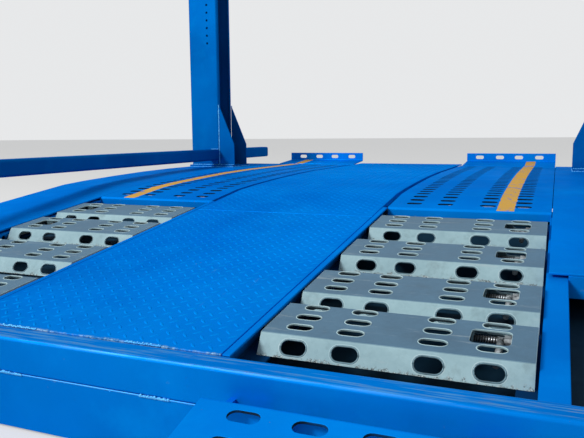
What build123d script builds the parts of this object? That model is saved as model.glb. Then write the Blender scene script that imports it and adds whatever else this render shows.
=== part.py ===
from build123d import *
import math
import os

os.makedirs("parts", exist_ok=True)

# Front deck section of a car transporter: a sloping deck with two open wheel wells that are
# bridged by loose galvanised planks, folding up and levelling off into two perforated track
# plates that end in wheel stops. Sizes are in mm and angles in degrees.
# X is to the right, Y is forward and Z is up. While it is built, everything is measured from
# the datum: the centreline, at deck level, at the near top edge of the rearmost plank.

# Whole section
overall_width = 2550
slope = 7.12                # rise of the rear deck towards the front
rail_drop = 220             # from the datum down to the underside of the main rails
deck_rear = -167            # rear face of the rear beam
fold_table = (              # place of each fold ahead of the datum, slope of the deck beyond it
    (1292, 3.6),
    (1438, 2.4),
    (1676, 1.8),
    (1928, 0.9),
    (2196, 0.0),
)
sheet = 6                   # deck sheet
seam = 2                    # open seam between deck sheets
seat_gap = 0.3              # between a loose piece and what carries it
side_gap = 6                # between a moving piece and what stands beside it

# Wells, measured along the slope
well_front = 1086
well_ledge = 30             # width that carries a plank's end
ledge_end_gap = 4           # between a ledge's front end and the track plate's lip
outer_strip = 49            # width of the strip outside the planks
outer_strip_drop = 14       # the outer strip lies below the deck
rack_pitch = 58             # spacing of the locking holes
rack_hole_radius = 7.5
rack_hole_sides = 4

# Planks
plank_length = 515
plank_gap = 10              # from the tracks' inner edge to the planks' inner ends
plank_top = 158
plank_skirt = 29            # how far the sloping faces spread
plank_height = 38
plank_sheet = 4
plank_steps_right = (0, 4, 9, 14)    # place of each plank in the rack, in rack holes
plank_steps_left = (0, 5, 10, 14)
plank_columns = (69, 175)            # hole centres from the inner end
plank_end_columns = (181, 75)        # hole centres from the outer end
plank_rows = (37, 89, 141)           # hole centres from the near edge
plank_hole = (54, 30)                # length and width
face_columns = (74, 178)             # the same for the holes in the sloping faces
face_end_columns = (180, 74)
face_hole = (53, 27)
face_hole_down = 26         # from the fold at the top to the hole's centre
hole_corner = 0.3           # how much of a hole's width its cut corners take
latch_window = (74, 62)
latch_window_corner = 8
latch_window_end = 82       # from the outer end to the window's centre
latch_window_row = 88       # from the near edge to the window's centre
tongue = (60, 16, 8)        # width, reach and thickness
tongue_drop = 10
bolt_row = 140              # from the near edge to the locking bolt
bolt_length = 131
bolt_radius = 6
bolt_fit = 0.1
bolt_sides = 6              # the bolt and its bores are drawn with this many sides
collar_radius = 8
collar_length = 14
guide = (28, 4)             # width and thickness of a bolt guide

# Centre panel and tracks
centre_seams = (937, 2300)
centre_gap = 17             # between the centre panel and a track
centre_overhang = 185       # how far the centre panel reaches ahead of the deck's front edge
track_inner = 352
track_edge = 4              # from the wells' outer side to the tracks' outer edge
track_lip = 30
track_columns = (80, 189)   # slot centres from the inner edge
track_end_columns = (203, 89)        # slot centres from the outer edge
slot = (54, 26)
slot_pitch = 57.5
slot_first = 67             # from the near edge to the first row
side_panel_rear = 487
side_lip = 60

# Main rails and cross-members
rail_inset = 62             # from the tracks' inner edge to the rail's centre
rail_flange = 80
rail_flange_thickness = 12
rail_web = 8
chassis_rear = 250          # place of the rear bolt pattern for a chassis bracket
chassis_front = 210         # place of the front one, back from the deck's front edge
chassis_spacing = (100, 60)
chassis_hole_radius = 8.75
chassis_height = 65
beam_width = 52
beam_depth = 75
beam_wall = 6
beam_corner = 5
beam_vents = (400, 1000)    # places of the vent holes in the beam's front face
vent_radius = 12
vent_sides = 4
apron = (8, 118)            # thickness and height
member = (60, 80)           # width and height of a cross-member
member_wall = 5
member_places = (1105, 1680, 2230)
well_member_places = (230, 610)
post_member = (175, 110)
front_member = (80, 100)
sill = (70, 80)             # width and height of the outer sill
sill_wall = 5
guard_sheet = 3             # splash guards under the wells
guard_edge = 35             # from the section's side to a guard's outer edge

# Posts and side rails
post_rear = 2471
post_size = (201, 175)
post_wall = 8
post_lip = 20
post_top = 1900
post_base = (30, 12)        # margin and thickness of the base plate
post_to_front = 284         # from the posts to the deck's front edge
post_cap = 10
gusset_reach = 103
gusset_high = 576
gusset_low = 331
peg_hole_radius = 7
peg_hole_sides = 4          # all but the lowest, which is round
peg_pitch = 46
peg_first = 955
peg_count = 19
peg_inset = 71
cap_spacing = (140, 115)
cap_hole_radius = 7
side_rail = (70, 69)
side_rail_wall = 4
side_rail_corner = 7
side_rail_top = 302

# Wheel stops ahead of the deck
stop_gap = 60               # from the deck's front edge to the stop's plate
stop_length = 216
stop_rise = 17              # how much the plate rises to the upright
stop_height = 50
stop_hole = (50, 22)
stop_columns = (80, 204)    # hole centres from the inner edge
stop_end_columns = (216, 95)         # hole centres from the outer edge
arm = (10, 56)              # thickness and depth of the arms on the front beam
arm_inset = 70

# Rear flaps
flap_edge = -215
flap_edge_drop = 50
flap_slope = 14
flap_length = 330
flap_front_lip = 37
flap_rear_lip = 25
flap_columns = (95, 209)    # slot centres from the inner edge
flap_end_columns = (213, 72)         # slot centres from the outer edge
flap_first = 38
flap_pitch = 66
flap_rows = 4
flap_slot = (58, 28)
pivot_back = 25             # from the beam's rear face to the pivot
pivot_drop = 84
pivot_pin_radius = 8
pivot_fit = 0.1
knuckle_radius = 14
knuckle_sides = 8
knuckle_length = 60
knuckle_inset = 70          # from the flap's edges to the middle of a knuckle
ear_radius = 12
ear_thickness = 12
ear_gap = 2
flap_rest_gap = 8           # between a rest and the flap's front lip
flap_rest_inset = 150
flap_rest_thickness = 10
flap_rest_reach = 135
flap_rest_depth = 45

half_width = overall_width / 2
post_front = post_rear + post_size[1]
deck_front = post_front + post_to_front
stop_start = deck_front + stop_gap
stop_end = stop_start + stop_length
beam_front = deck_rear + beam_width
centre_half = track_inner - centre_gap
rail_centre = track_inner - rail_inset
plank_inner = track_inner + plank_gap
plank_outer = plank_inner + plank_length
well_outer = plank_outer + side_gap
track_outer = well_outer + track_edge
plank_base = plank_height + seat_gap
bolt_level = (outer_strip_drop + sheet + plank_base) / 2
edge_fold = rail_flange_thickness + sheet


def rise(degrees, run):
    return math.tan(math.radians(degrees)) * run


def deck_height(y):
    height, from_y, at_slope = 0, 0, slope
    for station, next_slope in fold_table:
        if y <= station:
            break
        height += rise(at_slope, station - from_y)
        from_y, at_slope = station, next_slope
    return height + rise(at_slope, y - from_y)


def deck_line(y0, y1, drop=0):
    stations = [y0] + [place for place, _ in fold_table if y0 < place < y1] + [y1]
    return [(y, deck_height(y) - drop) for y in stations]


def along_x(outline, x0, x1):
    face = Plane.YZ.offset(x0) * make_face(Polyline(*outline, close=True))
    return extrude(face, amount=x1 - x0, dir=(1, 0, 0))


def along_y(outline, y0, y1):
    face = Plane((0, y0, 0), x_dir=(1, 0, 0), z_dir=(0, -1, 0)) * make_face(Polyline(*outline, close=True))
    return extrude(face, amount=y1 - y0, dir=(0, 1, 0))


def block(x0, x1, y0, y1, z0, z1):
    return Pos((x0 + x1) / 2, (y0 + y1) / 2, (z0 + z1) / 2) * Box(x1 - x0, y1 - y0, z1 - z0)


def folded(x0, x1, y0, y1, drop, depth):
    # a strip of the deck's profile, its top a given drop below the deck
    top = deck_line(y0, y1, drop)
    bottom = deck_line(y0, y1, drop + depth)
    return along_x(top + bottom[::-1], x0, x1)


def on_slope(shape):
    return Rot(slope, 0, 0) * shape


def hole_face(size):
    # a long hole with its corners cut, long side along X
    length, width = size
    cut = width * hole_corner
    x, y = length / 2, width / 2
    corners = [(x - cut, y), (x, y - cut), (x, cut - y), (x - cut, -y)]
    corners += [(cut - x, -y), (-x, cut - y), (-x, y - cut), (cut - x, y)]
    return make_face(Polyline(*corners, close=True))


def cut_down(places, face, z0, z1):
    # upright cutters, one at each place
    drawing = Sketch() + [Pos(x, y) * face for x, y in places]
    return extrude(Pos(0, 0, z0) * drawing, amount=z1 - z0)


def cut_box(x0, x1, y0, y1, cut):
    # corners of a rectangle with its own corners cut off
    points = [(x0 + cut, y0), (x1 - cut, y0), (x1, y0 + cut), (x1, y1 - cut)]
    return points + [(x1 - cut, y1), (x0 + cut, y1), (x0, y1 - cut), (x0, y0 + cut)]


def round_bar(radius, length):
    return Cylinder(radius, length, rotation=(0, 90, 0))


def sided_bar(radius, length, sides):
    # a bar along X with flat sides, as far across as a round one
    return extrude(Plane.YZ * RegularPolygon(radius, sides, major_radius=False), amount=length / 2, both=True)


def across(inner, outer, first, last):
    # columns measured from the inner edge, then columns measured from the outer edge
    return [inner + inset for inset in first] + [outer - inset for inset in last]


# Planks

def plank():
    lean = math.hypot(plank_skirt, plank_height) / plank_height * plank_sheet
    inside = plank_skirt * (plank_height - plank_sheet) / plank_height
    outer = [(-plank_skirt, -plank_height), (0, 0), (plank_top, 0), (plank_top + plank_skirt, -plank_height)]
    inner = [
        (plank_top + plank_skirt - lean, -plank_height),
        (plank_top + plank_skirt - lean - inside, -plank_sheet),
        (-plank_skirt + lean + inside, -plank_sheet),
        (-plank_skirt + lean, -plank_height),
    ]
    body = along_x(outer + inner, 0, plank_length)
    for x in (0, plank_length - plank_sheet):
        body += along_x(outer, x, x + plank_sheet)
    window_x, window_y = plank_length - latch_window_end, latch_window_row
    for x in (window_x - latch_window[0] / 2 - guide[1], window_x + latch_window[0] / 2):
        y = bolt_row - guide[0] / 2
        body += block(x, x + guide[1], y, y + guide[0], -plank_height, -plank_sheet)
    body += block(
        -tongue[1], 0,
        (plank_top - tongue[0]) / 2, (plank_top + tongue[0]) / 2,
        -tongue_drop - tongue[2], -tongue_drop,
    )
    columns = across(0, plank_length, plank_columns, plank_end_columns)
    places = [(x, y) for x in columns for y in plank_rows if (x, y) != (columns[-1], plank_rows[1])]
    body -= cut_down(places, hole_face(plank_hole), -plank_sheet * 2, plank_sheet)
    x, y = latch_window[0] / 2, latch_window[1] / 2
    window = make_face(Polyline(*cut_box(-x, x, -y, y, latch_window_corner), close=True))
    body -= cut_down([(window_x, window_y)], window, -plank_sheet * 2, plank_sheet)
    face_angle = math.degrees(math.atan2(plank_height, plank_skirt))
    out = face_hole_down * math.cos(math.radians(face_angle))
    down = face_hole_down * math.sin(math.radians(face_angle))
    face_places = [(x, 0) for x in across(0, plank_length, face_columns, face_end_columns)]
    cutter = cut_down(face_places, hole_face(face_hole), -plank_sheet * 2, plank_sheet * 2)
    body -= Pos(0, -out, -down) * Rot(face_angle, 0, 0) * cutter
    body -= Pos(0, plank_top + out, -down) * Rot(-face_angle, 0, 0) * cutter
    bore = sided_bar(bolt_radius + bolt_fit, 2 * bolt_length, bolt_sides)
    return body - Pos(plank_length, bolt_row, -bolt_level) * bore


def locking_bolt():
    pin = sided_bar(bolt_radius, bolt_length, bolt_sides)
    collar = sided_bar(collar_radius, collar_length, bolt_sides)
    body = Pos(plank_length - bolt_length / 2, bolt_row, -bolt_level) * pin
    collar_x = plank_length - latch_window_end + collar_length
    return body + Pos(collar_x, bolt_row, -bolt_level) * collar


# Deck sheets

def centre_panel(y0, y1):
    return folded(-centre_half, centre_half, y0, y1, 0, sheet)


def centre_panel_front():
    # the last panel is carried past the deck's front edge by two arms
    body = centre_panel(centre_seams[1] + seam / 2, deck_front + centre_overhang)
    for x in (arm_inset - centre_half, centre_half - arm_inset - arm[0]):
        body += front_arm(x, deck_front + centre_overhang)
    return body


def front_arm(x, end):
    # an arm on the front beam's face, under a plate ahead of the deck
    top = deck_height(deck_front) - sheet
    outline = [(deck_front, top), (deck_front, top - arm[1]), (end, top - arm[1] / 2), (end, top)]
    return along_x(outline, x, x + arm[0])


def track_start():
    return well_front * math.cos(math.radians(slope))


def track_plate():
    y0 = track_start()
    plate = folded(track_inner, track_outer, y0, deck_front, 0, sheet)
    plate += folded(track_inner, track_outer, y0, y0 + sheet, 0, track_lip)
    for x in (track_inner, track_outer - sheet):
        plate += folded(x, x + sheet, y0, deck_front - front_member[0], 0, edge_fold)
    rows = int((deck_front - y0 - 2 * slot_first) / slot_pitch) + 1
    columns = across(track_inner, track_outer, track_columns, track_end_columns)
    places = [(x, y0 + slot_first + row * slot_pitch) for row in range(rows) for x in columns]
    top = deck_height(deck_front) + sheet
    return plate - cut_down(places, Rectangle(*slot), deck_height(y0) - sheet * 3, top)


def side_panel():
    inner = track_outer + seam
    panel = folded(inner, half_width, side_panel_rear, deck_front, 0, sheet)
    panel += folded(inner, inner + sheet, track_start(), deck_front - front_member[0], 0, edge_fold)
    edge = well_outer + outer_strip
    panel += folded(edge, half_width - sill[0], side_panel_rear, side_panel_rear + sheet, 0, side_lip)
    return panel


# Well edges

def ledge_ends():
    return beam_front / math.cos(math.radians(slope)), well_front - ledge_end_gap


def inner_channel():
    foot = rail_centre + rail_flange / 2
    web = foot + sheet
    ledge = plank_inner + well_ledge
    outline = [
        (foot, -sheet), (centre_half, -sheet), (centre_half, 0), (track_inner, 0), (track_inner, -sheet),
        (web, -sheet), (web, -plank_base), (ledge, -plank_base),
        (ledge, -plank_base - sheet), (foot, -plank_base - sheet),
    ]
    return on_slope(along_y(outline, *ledge_ends()))


def outer_channel():
    base = plank_base
    far = well_outer + outer_strip
    outline = [
        (plank_outer - well_ledge, -base), (well_outer, -base), (well_outer, -outer_strip_drop),
        (far, -outer_strip_drop), (far, -base - sheet), (far - sheet, -base - sheet),
        (far - sheet, -outer_strip_drop - sheet), (well_outer + sheet, -outer_strip_drop - sheet),
        (well_outer + sheet, -base - sheet), (plank_outer - well_ledge, -base - sheet),
    ]
    body = along_y(outline, *ledge_ends())
    count = round((well_front - bolt_row) / rack_pitch)
    hole = sided_bar(rack_hole_radius, sheet * 3, rack_hole_sides)
    for step in range(count):
        body -= Pos(well_outer + sheet / 2, bolt_row + step * rack_pitch, -bolt_level) * hole
    return on_slope(body)


# Main rails and cross-members

def main_rail():
    x0, x1 = rail_centre - rail_flange / 2, rail_centre + rail_flange / 2
    y0, y1 = beam_front, deck_front - front_member[0]
    body = folded(x0, x1, y0, y1, sheet, rail_flange_thickness)
    body += block(x0, x1, y0, y1, -rail_drop, -rail_drop + rail_flange_thickness)
    web = deck_line(y0, y1, sheet) + [(y1, -rail_drop), (y0, -rail_drop)]
    body += along_x(web, rail_centre - rail_web / 2, rail_centre + rail_web / 2)
    hole = round_bar(chassis_hole_radius, rail_web * 3)
    for y in (chassis_rear, deck_front - chassis_front):
        for dy in (-0.5, 0.5):
            for dz in (-0.5, 0.5):
                z = chassis_height - rail_drop + dz * chassis_spacing[1]
                body -= Pos(rail_centre, y + dy * chassis_spacing[0], z) * hole
    return body


def member_tube(x0, x1, y, size, drop):
    # a tube across the deck, its top and bottom in line with the deck above it
    width, depth = size
    tube = folded(x0, x1, y, y + width, drop, depth)
    wall = member_wall
    return tube - folded(x0, x1, y + wall, y + width - wall, drop + wall, depth - 2 * wall)


def cross_members():
    reach = rail_centre - rail_web / 2
    tubes = [member_tube(-reach, reach, y, member, edge_fold) for y in well_member_places + member_places]
    tubes.append(member_tube(-reach, reach, post_rear, post_member, edge_fold))
    return tubes


def outriggers():
    inner, outer = rail_centre + rail_web / 2, half_width - sill[0]
    under_ledges = (plank_base + sheet) / math.cos(math.radians(slope))
    tubes = [member_tube(inner, well_outer + outer_strip, y, member, under_ledges) for y in well_member_places]
    tubes += [member_tube(inner, outer, y, member, edge_fold) for y in member_places]
    tubes.append(member_tube(inner, outer, post_rear, post_member, edge_fold))
    return tubes


def splash_guard():
    # a folded pan under the well, from the main rail to the sill
    x0, x1 = rail_centre + rail_web / 2, half_width - guard_edge
    y0, y1 = deck_rear + apron[0], member_places[0] + guard_sheet
    top = (plank_base + sheet) / math.cos(math.radians(slope)) + member[1]
    side = sheet + sill[1]
    front = edge_fold + member[1]
    pan = folded(x0, x1, y0, y1, top, guard_sheet)
    pan += folded(x1 - guard_sheet, x1, beam_front, y1, side, top + guard_sheet - side)
    return pan + folded(x0, x1, member_places[0], y1, front, top + guard_sheet - front)


def rear_beam():
    y0, y1, wall = deck_rear, beam_front, beam_wall
    low = deck_height(y0) - beam_depth
    cut = beam_corner
    outline = deck_line(y0 + cut, y1 - cut) + [(y1, deck_height(y1) - cut), (y1, low)]
    outline += [(y0, low), (y0, deck_height(y0) - cut)]
    body = along_x(outline, -half_width, half_width)
    hollow = deck_line(y0 + wall, y1 - wall, wall) + [(y1 - wall, low + wall), (y0 + wall, low + wall)]
    body -= along_x(hollow, wall - half_width, half_width - wall)
    for x in beam_vents:
        for side in (-x, x):
            vent = Rot(0, 0, 90) * sided_bar(vent_radius, wall * 3, vent_sides)
            body -= Pos(side, y1, (deck_height(y1) + low) / 2) * vent
    reach = well_outer + outer_strip
    body += block(-reach, reach, y0, y0 + apron[0], low - apron[1], low)
    return body + hinge_ears()


def front_beam():
    y0, y1, wall = deck_front - front_member[0], deck_front, member_wall
    top = deck_height(deck_front) - sheet
    low = top - front_member[1]
    tube = block(-half_width, half_width, y0, y1, low, top)
    return tube - block(-half_width, half_width, y0 + wall, y1 - wall, low + wall, top - wall)


def outer_sill():
    x0, x1, wall = half_width - sill[0], half_width, sill_wall
    y0, y1 = beam_front, deck_front - front_member[0]
    body = folded(x0, x1, y0, y1, sheet, sill[1])
    return body - folded(x0 + wall, x1 - wall, y0, y1, sheet + wall, sill[1] - 2 * wall)


# Posts and side rails

def post():
    inner, outer = half_width - post_size[0], half_width
    y0, y1 = post_rear, post_front
    foot = deck_height(y0) + post_base[1]
    section = [
        (inner, y0), (outer, y0), (outer, y1), (inner, y1), (inner, y1 - post_lip),
        (inner + post_wall, y1 - post_lip), (inner + post_wall, y1 - post_wall),
        (outer - post_wall, y1 - post_wall), (outer - post_wall, y0 + post_wall),
        (inner + post_wall, y0 + post_wall),
        (inner + post_wall, y0 + post_lip), (inner, y0 + post_lip),
    ]
    column = Pos(0, 0, foot) * make_face(Polyline(*section, close=True))
    body = extrude(column, amount=post_top - post_cap - foot)
    body += block(inner, outer, y0, y1, post_top - post_cap, post_top)
    reach, margin = inner - gusset_reach, post_base[0]
    body += block(reach, outer, y0 - margin, y1 + margin, foot - post_base[1], foot)
    gusset = [(inner, gusset_high), (reach, gusset_low), (reach, foot), (inner, foot)]
    for y in (y0, y1 - post_wall):
        body += along_y(gusset, y, y + post_wall)
    body -= Pos(inner + peg_inset, y0, peg_first) * Rot(0, 0, 90) * round_bar(peg_hole_radius, post_wall * 3)
    for step in range(1, peg_count):
        hole = Rot(0, 0, 90) * sided_bar(peg_hole_radius, post_wall * 3, peg_hole_sides)
        body -= Pos(inner + peg_inset, y0, peg_first + step * peg_pitch) * hole
    for dx in (-0.5, 0.5):
        for dy in (-0.5, 0.5):
            place = ((inner + outer) / 2 + dx * cap_spacing[0], (y0 + y1) / 2 + dy * cap_spacing[1], post_top)
            body -= Pos(*place) * Cylinder(cap_hole_radius, post_cap * 3)
    return body


def side_rail_tube(y0, y1):
    wall, corner = side_rail_wall, side_rail_corner
    x0, x1 = half_width - post_size[0], half_width - post_size[0] + side_rail[0]
    z0, z1 = side_rail_top - side_rail[1], side_rail_top
    shell = along_y(cut_box(x0, x1, z0, z1, corner), y0, y1)
    inside = cut_box(x0 + wall, x1 - wall, z0 + wall, z1 - wall, corner - wall / 2)
    return shell - along_y(inside, y0, y1)


def side_rails():
    # the rear one stands on the rear beam by a stanchion, the front one is a stub on the post
    wall, cut = side_rail_wall, beam_corner
    x0 = half_width - post_size[0]
    under = side_rail_top - side_rail[1]
    y0, y1 = deck_rear + cut, beam_front - cut
    stanchion = along_x(deck_line(y0, y1) + [(y1, under), (y0, under)], x0, x0 + side_rail[0])
    bore = block(x0 + wall, x0 + side_rail[0] - wall, y0 + wall, y1 - wall, deck_height(y0) - wall, under)
    return [side_rail_tube(deck_rear, post_rear) + (stanchion - bore), side_rail_tube(post_front, stop_end)]


# Wheel stops at the front

def wheel_stop():
    low = deck_height(deck_front)
    fold = low + stop_rise
    top = fold + stop_height
    outline = [
        (stop_start, low), (stop_end, fold), (stop_end, top), (stop_end + sheet, top),
        (stop_end + sheet, fold - sheet), (stop_end, fold - sheet), (stop_start, low - sheet),
    ]
    body = along_x(outline, track_inner, track_outer)
    columns = across(track_inner, track_outer, stop_columns, stop_end_columns)
    holes = cut_down([(x, 0) for x in columns], hole_face(stop_hole), -sheet * 2, sheet * 2)
    body -= Pos(0, stop_end, (fold + top) / 2) * Rot(90, 0, 0) * holes
    for x in (track_inner + arm_inset, track_outer - arm_inset - arm[0]):
        web = [(stop_start, low - sheet), (stop_end, fold - sheet), (stop_end, low - sheet)]
        body += front_arm(x, stop_end) + along_x(web, x, x + arm[0])
    return body


# Rear flaps and their hinges

pivot_y = deck_rear - pivot_back
pivot_z = -pivot_drop


def knuckle_places():
    return [track_inner + knuckle_inset, track_outer - knuckle_inset]


def flap():
    tilt = math.radians(flap_slope)
    y1 = -flap_length * math.cos(tilt)
    z1 = -flap_length * math.sin(tilt)
    outline = [
        (0, 0), (y1, z1), (y1, z1 - flap_rear_lip), (y1 + sheet, z1 - flap_rear_lip),
        (y1 + sheet, z1 + rise(flap_slope, sheet) - sheet), (-sheet, -rise(flap_slope, sheet) - sheet),
        (-sheet, -flap_front_lip), (0, -flap_front_lip),
    ]
    body = Pos(0, flap_edge, -flap_edge_drop) * along_x(outline, track_inner, track_outer)
    columns = across(track_inner, track_outer, flap_columns, flap_end_columns)
    rows = [flap_edge - (flap_first + row * flap_pitch) * math.cos(tilt) for row in range(flap_rows)]
    places = [(x, y) for y in rows for x in columns]
    body -= cut_down(places, Rectangle(*flap_slot), -flap_edge_drop + z1 - sheet * 2, -flap_edge_drop + sheet)
    for x in knuckle_places():
        body += Pos(x, pivot_y, pivot_z) * sided_bar(knuckle_radius, knuckle_length, knuckle_sides)
        x0, x1 = x - knuckle_length / 2, x + knuckle_length / 2
        body += block(x0, x1, flap_edge - sheet / 2, pivot_y, pivot_z - sheet / 2, pivot_z + sheet / 2)
        bore = sided_bar(pivot_pin_radius + pivot_fit, knuckle_length * 2, knuckle_sides)
        body -= Pos(x, pivot_y, pivot_z) * bore
    return body


def ear_reach():
    # from the middle of a knuckle to the far side of the ear beside it
    return knuckle_length / 2 + ear_gap + ear_thickness


def ear(x):
    low, high = pivot_z - ear_radius, pivot_z + ear_radius
    body = block(x, x + ear_thickness, pivot_y, deck_rear, low, high)
    body += Pos(x + ear_thickness / 2, pivot_y, pivot_z) * sided_bar(ear_radius, ear_thickness, knuckle_sides)
    return body - Pos(x, pivot_y, pivot_z) * sided_bar(pivot_pin_radius, ear_thickness * 3, knuckle_sides)


def hinge_ears():
    inner, outer = knuckle_places()
    ears = [ear(inner - ear_reach()), ear(outer + ear_reach() - ear_thickness)]
    ears += [mirror(piece, Plane.YZ) for piece in ears]
    return ears


def flap_pin():
    # one long pin through both knuckles of a flap
    inner, outer = knuckle_places()
    pin = round_bar(pivot_pin_radius, outer - inner + 2 * ear_reach())
    return Pos((inner + outer) / 2, pivot_y, pivot_z) * pin


def flap_rest(x):
    # a bracket on the rear apron that reaches under the front lip and carries the flap
    under = flap_edge_drop + sheet / math.cos(math.radians(flap_slope)) + seat_gap
    clear = flap_edge - sheet - flap_rest_gap
    low = -flap_edge_drop - flap_front_lip - flap_rest_gap
    end = deck_rear - flap_rest_reach
    outline = [
        (deck_rear, low), (clear, low),
        (clear, -under + rise(flap_slope, clear - flap_edge)),
        (end, -under + rise(flap_slope, end - flap_edge)),
        (end, -under + rise(flap_slope, end - flap_edge) - flap_rest_depth / 3),
        (deck_rear, low - flap_rest_depth),
    ]
    return along_x(outline, x, x + flap_rest_thickness)


def flap_rests():
    return [flap_rest(x) for x in (track_inner + flap_rest_inset, track_outer - flap_rest_inset)]


# Nodes

def place_plank(shape, step):
    return on_slope(Pos(plank_inner, step * rack_pitch, 0) * shape)


def to_left(pieces):
    return [mirror(piece, Plane.YZ) for piece in pieces]


def build():
    # each node is a list of solids
    nodes = {}
    pairs = {
        "main_rail": [main_rail()],
        "inner_channel": [inner_channel()],
        "outer_channel": [outer_channel()],
        "track_plate": [track_plate()],
        "side_panel": [side_panel()],
        "post": [post()],
        "side_rail": side_rails(),
        "wheel_stop": [wheel_stop()],
        "rear_flap": [flap()],
    }
    for name, pieces in pairs.items():
        nodes[name + "_right"] = pieces
        nodes[name + "_left"] = to_left(pieces)
    board, bolt = plank(), locking_bolt()
    for number in range(len(plank_steps_right)):
        for name, shape in (("plank", board), ("plank_bolt", bolt)):
            nodes[f"{name}_right_{number + 1}"] = [place_plank(shape, plank_steps_right[number])]
            nodes[f"{name}_left_{number + 1}"] = to_left([place_plank(shape, plank_steps_left[number])])
    first, last = centre_seams
    nodes["centre_panel_rear"] = [centre_panel(beam_front, first - seam / 2)]
    nodes["centre_panel_middle"] = [centre_panel(first + seam / 2, last - seam / 2)]
    nodes["centre_panel_front"] = [centre_panel_front()]
    nodes["cross_members"] = cross_members()
    nodes["rear_beam"] = [rear_beam()]
    nodes["front_beam"] = [front_beam()]
    both_sides = {
        "outriggers": outriggers(),
        "outer_sills": [outer_sill()],
        "splash_guards": [splash_guard()],
        "flap_pins": [flap_pin()],
        "flap_rests": flap_rests(),
    }
    for name, pieces in both_sides.items():
        nodes[name] = pieces + to_left(pieces)
    return nodes


# The finished section stands on its main rails, with its origin below the middle of its box
flap_end = flap_edge - flap_length * math.cos(math.radians(flap_slope))
middle = (flap_end + stop_end + sheet) / 2
to_origin = Pos(0, -middle, rail_drop)

for node, pieces in build().items():
    placed = [to_origin * piece for piece in pieces]
    export_step(Compound(children=placed), f"parts/{node}.step")
print("length", stop_end + sheet - flap_end, "origin ahead of the datum", middle)
print("pivot", pivot_y - middle, pivot_z + rail_drop)
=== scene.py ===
import math
import bpy
import bmesh
from mathutils import Matrix, Vector


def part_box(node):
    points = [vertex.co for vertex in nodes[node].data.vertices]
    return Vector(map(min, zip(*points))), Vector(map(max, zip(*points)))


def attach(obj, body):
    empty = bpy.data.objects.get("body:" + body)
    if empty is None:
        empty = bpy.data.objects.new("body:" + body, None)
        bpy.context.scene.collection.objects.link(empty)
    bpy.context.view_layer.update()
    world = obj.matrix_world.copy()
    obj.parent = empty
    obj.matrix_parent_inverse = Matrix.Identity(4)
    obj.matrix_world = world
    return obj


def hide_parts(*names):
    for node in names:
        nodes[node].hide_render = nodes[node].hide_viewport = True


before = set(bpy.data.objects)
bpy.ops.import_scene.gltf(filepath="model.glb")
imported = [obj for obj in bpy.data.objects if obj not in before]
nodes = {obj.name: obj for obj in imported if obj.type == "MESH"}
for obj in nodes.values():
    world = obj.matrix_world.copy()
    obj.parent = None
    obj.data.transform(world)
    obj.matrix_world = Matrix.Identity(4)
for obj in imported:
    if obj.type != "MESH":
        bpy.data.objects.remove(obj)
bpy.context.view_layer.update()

# Where the deck lies in the frame, in metres. The datum is at deck level by the rearmost plank's near edge.
# A fold is a place along the deck and the slope beyond it, in degrees.
deck = {
    "datumZ": 0.22, "rear": -0.115, "front": 2.93, "stopFace": 3.212, "slope": 7.12, "sheet": 0.006,
    "folds": ((1.292, 3.6), (1.438, 2.4), (1.676, 1.8), (1.928, 0.9), (2.196, 0.0)),
}
deck["datumY"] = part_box("wheel_stop_right")[1][1] - deck["stopFace"]


def deckHeight(y):
    height, start, slope = 0.0, 0.0, deck["slope"]
    for station, nextSlope in deck["folds"]:
        if y <= station:
            break
        height += math.tan(math.radians(slope)) * (station - start)
        start, slope = station, nextSlope
    return height + math.tan(math.radians(slope)) * (y - start)


def deckAngle(y):
    slope = deck["slope"]
    for station, nextSlope in deck["folds"]:
        if y > station:
            slope = nextSlope
    return math.radians(slope)


def deckLine(y0, y1, drop=0.0):
    stations = [y0] + [place for place, _ in deck["folds"] if y0 < place < y1] + [y1]
    return [(y, deckHeight(y) - drop) for y in stations]


def deckSheet(y0, y1, top=0.0, below=deck["sheet"]):
    # the side view of a sheet that follows the deck, from one level under it to another
    return deckLine(y0, y1, top) + deckLine(y0, y1, below)[::-1]


def datumMatrix():
    return Matrix.Translation((0, deck["datumY"], deck["datumZ"]))


def slopeMatrix():
    return Matrix.Rotation(math.radians(deck["slope"]), 4, "X")


# Objects and meshes

def linkObject(name, data):
    item = bpy.data.objects.new(name, data)
    bpy.context.scene.collection.objects.link(item)
    return item


def meshFrom(vertices, faces):
    mesh = bpy.data.meshes.new("mesh")
    mesh.from_pydata([tuple(v) for v in vertices], [], faces)
    mesh.update()
    return mesh


def prism(outline, start, end, axis="x", inner=None):
    # an outline drawn out along an axis, and hollow when it has an inner outline of as many points
    count = len(outline)

    def place(point, along):
        a, b = point
        return {"x": (along, a, b), "y": (a, along, b), "z": (a, b, along)}[axis]

    def band(first, shift):
        # faces between a loop of points and the loop that comes shift points later
        return [[first + i, first + (i + 1) % count, first + shift + (i + 1) % count, first + shift + i]
                for i in range(count)]

    loops = [outline] if inner is None else [outline, inner]
    vertices = [place(point, along) for loop in loops for along in (start, end) for point in loop]
    faces = []
    for first in range(0, 2 * count * len(loops), 2 * count):
        faces += band(first, count)
    for first in (0, count):
        faces += [list(range(first, first + count))] if inner is None else band(first, 2 * count)
    mesh = meshFrom(vertices, faces)
    fixNormals(mesh)
    return mesh


def slab(x0, x1, y0, y1, z0, z1):
    return prism([(y0, z0), (y1, z0), (y1, z1), (y0, z1)], x0, x1)


def ring(radius, sides, y=0.0, z=0.0):
    turns = [2 * math.pi * (i + 0.5) / sides for i in range(sides)]
    return [(y + radius * math.cos(turn), z + radius * math.sin(turn)) for turn in turns]


def smoothed(mesh):
    for face in mesh.polygons:
        face.use_smooth = len(face.vertices) == 4
    return mesh


def fixNormals(mesh):
    work = bmesh.new()
    work.from_mesh(mesh)
    bmesh.ops.recalc_face_normals(work, faces=work.faces)
    work.to_mesh(mesh)
    work.free()


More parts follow.
